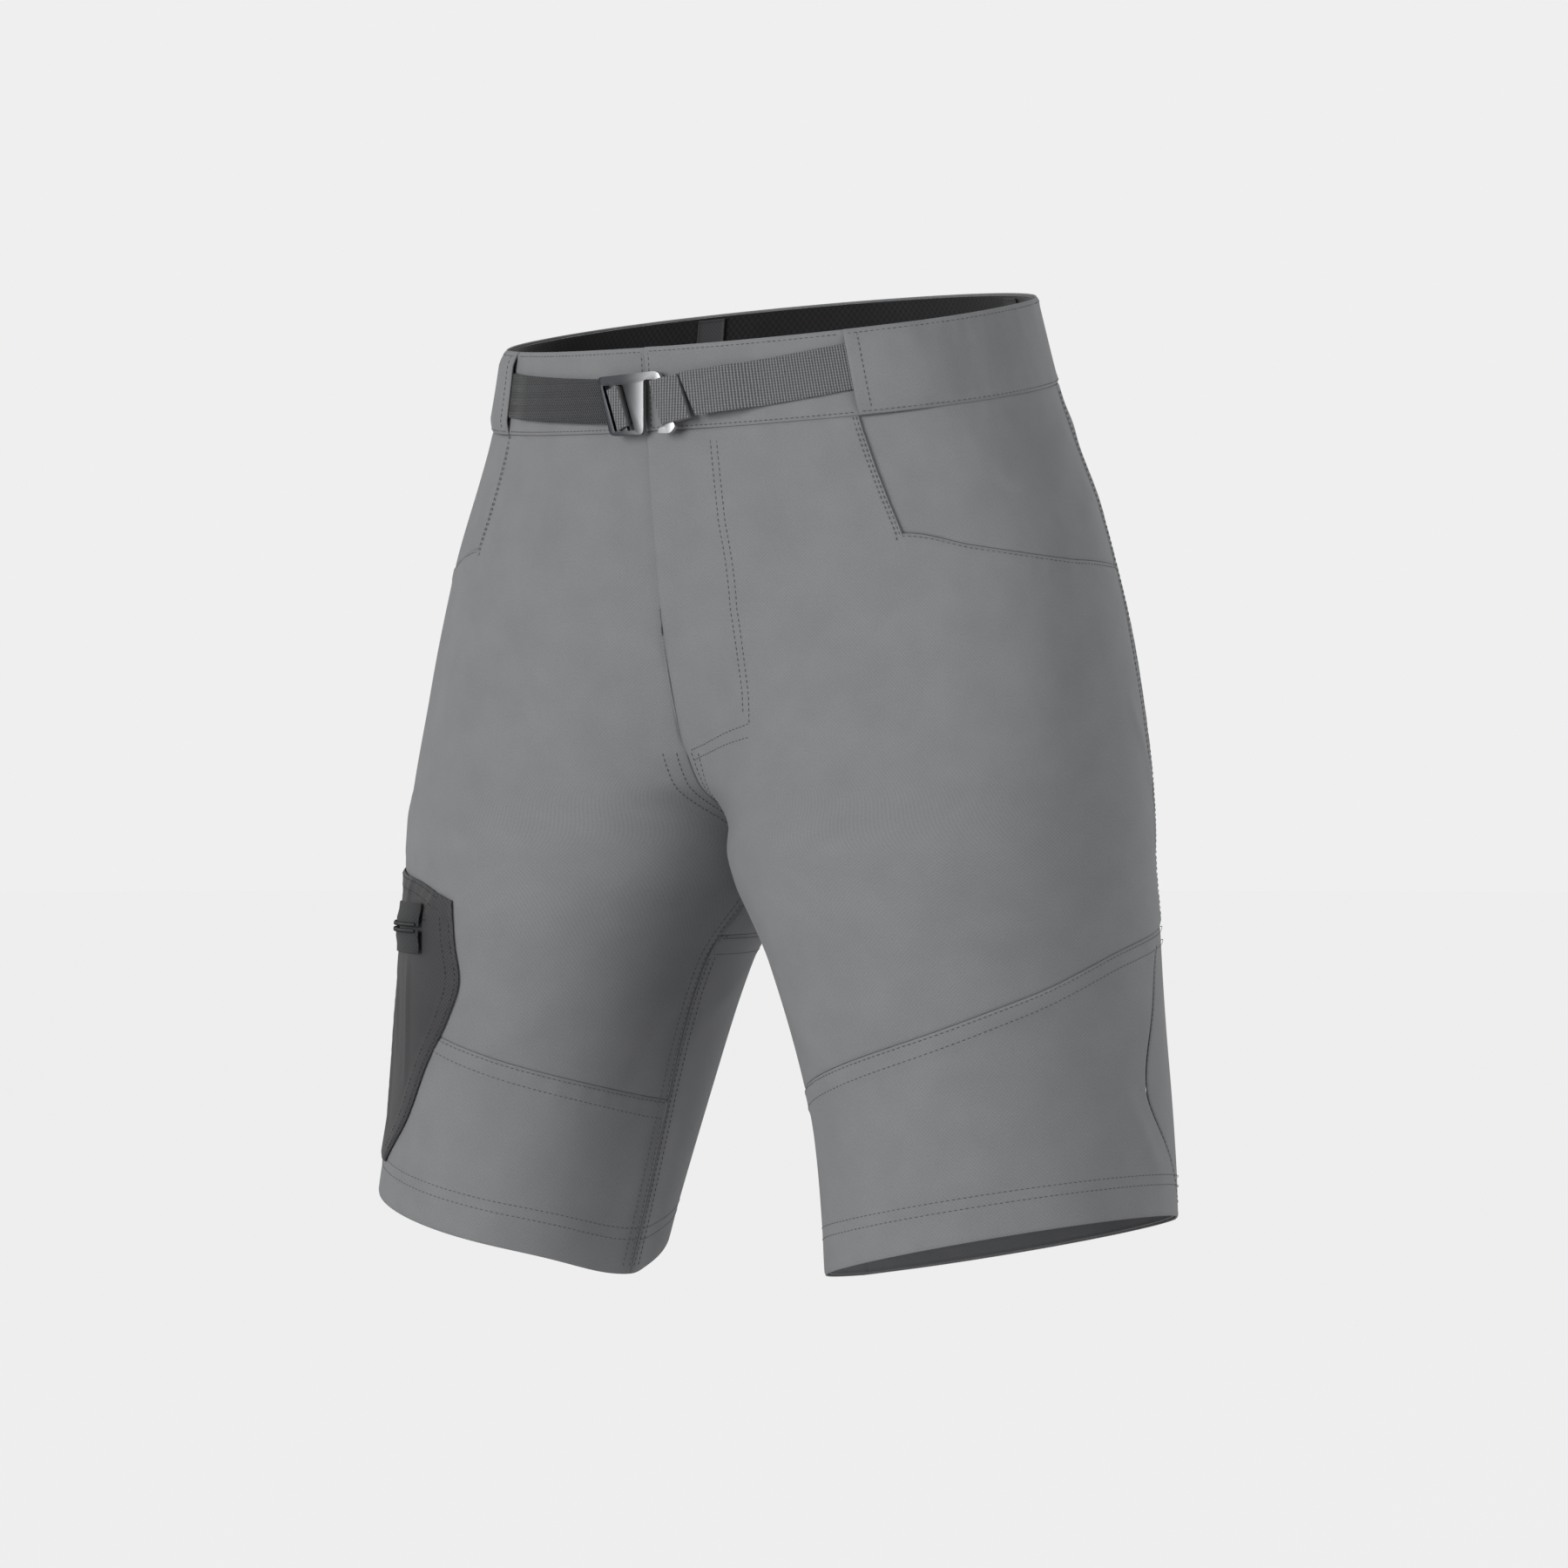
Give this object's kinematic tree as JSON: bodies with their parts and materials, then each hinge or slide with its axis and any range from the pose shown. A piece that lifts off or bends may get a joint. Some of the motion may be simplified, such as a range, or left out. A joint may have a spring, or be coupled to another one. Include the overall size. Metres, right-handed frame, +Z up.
{
  "type": "trekking shorts",
  "caption": "Grey stretch trekking shorts with a built-in webbing belt and hook buckle, hand pockets, a zipped fly, a dark zipped thigh pocket and a zipped back pocket.",
  "frame": {"origin": "middle of the waist opening, level with the waistband's top edge at the side seams", "axes": "+Z up, +X to the wearer's left, the wearer faces -Y"},
  "size_m": [0.5032, 0.2505, 0.5404],
  "materials": {
    "main_cloth": "matt woven stretch cloth",
    "dark_cloth": "matt ripstop cloth",
    "lining_fleece": "brushed knit",
    "pocket_mesh": "fine mesh",
    "webbing": "ribbed woven webbing",
    "zip_tape": "woven tape",
    "zip_coil": "moulded coil",
    "zip_metal": "dark plated",
    "buckle_metal": "satin gunmetal",
    "stud_metal": "dark plated"
  },
  "bodies": {
    "shorts": {"front_panel_left": "main_cloth", "front_panel_right": "main_cloth", "hip_panel_left": "main_cloth", "hip_panel_right": "main_cloth", "back_panel_left": "main_cloth", "back_panel_right": "main_cloth", "lower_front_left": "main_cloth", "lower_front_right": "main_cloth", "lower_back_left": "main_cloth", "lower_back_right": "main_cloth", "side_insert_left": "main_cloth", "hem_facing_left": "main_cloth", "hem_facing_right": "main_cloth", "waistband_front_left": "main_cloth", "waistband_front_right": "main_cloth", "waistband_tunnel": "main_cloth", "hanger_loop_left": "main_cloth", "hanger_loop_right": "main_cloth", "fly_facing": "main_cloth", "fly_shield": "main_cloth", "waistband_lining": "lining_fleece", "cargo_pocket_panel": "dark_cloth", "pocket_bag_left": "pocket_mesh", "pocket_bag_right": "pocket_mesh", "rear_pocket_bag": "pocket_mesh", "strap_left": "webbing", "strap_right": "webbing", "strap_tail": "webbing", "press_socket": "stud_metal", "press_stud": "stud_metal", "fly_tape_left": "zip_tape", "fly_coil_left": "zip_coil", "fly_tape_right": "zip_tape", "fly_coil_right": "zip_coil", "cargo_tape_lower": "zip_tape", "cargo_coil_lower": "zip_coil", "cargo_tape_upper": "zip_tape", "cargo_coil_upper": "zip_coil", "rear_tape_lower": "zip_tape", "rear_coil_lower": "zip_coil", "rear_tape_upper": "zip_tape", "rear_coil_upper": "zip_coil"},
    "fly_slider": {"fly_slider": "zip_metal"},
    "fly_pull": {"fly_pull": "zip_metal"},
    "cargo_slider": {"cargo_slider": "zip_metal"},
    "cargo_pull": {"cargo_pull": "zip_metal"},
    "rear_slider": {"rear_slider": "zip_metal"},
    "rear_pull": {"rear_pull": "zip_metal"},
    "buckle": {"buckle": "buckle_metal", "strap_turn": "webbing", "strap_loop": "webbing"}
  },
  "joints": [
    {"name": "fly_zip", "type": "slide", "parent": "shorts", "child": "fly_slider", "axis": [0, 0.159, -0.9873], "range_m": [0, 0.1205]},
    {"name": "fly_pull_tilt", "type": "hinge", "parent": "fly_slider", "child": "fly_pull", "pos_m": [0.012, -0.09459, -0.08386], "axis": [-1, 0, 0], "range_deg": [0, 3]},
    {"name": "cargo_zip", "type": "hinge", "parent": "shorts", "child": "cargo_slider", "pos_m": [-0.11073, 0.00817, -0.33446], "axis": [0, 0, 1], "range_deg": [0, 82]},
    {"name": "cargo_pull_tilt", "type": "hinge", "parent": "cargo_slider", "child": "cargo_pull", "pos_m": [-0.23384, 0.05068, -0.33421], "axis": [-0.062, 0.022, -0.9978], "range_deg": [0, 150]},
    {"name": "rear_zip", "type": "hinge", "parent": "shorts", "child": "rear_slider", "pos_m": [-0.03775, -0.06765, -0.09444], "axis": [0, 0, 1], "range_deg": [0, 32.5]},
    {"name": "rear_pull_tilt", "type": "hinge", "parent": "rear_slider", "child": "rear_pull", "pos_m": [-0.07349, 0.12751, -0.09356], "axis": [-0.041, 0.2261, -0.9733], "range_deg": [0, 150]},
    {"name": "buckle_tilt", "type": "hinge", "parent": "shorts", "child": "buckle", "pos_m": [0.03, -0.10896, -0.04813], "axis": [-0.3304, 0, 0.9438], "range_deg": [0, 25]}
  ]
}
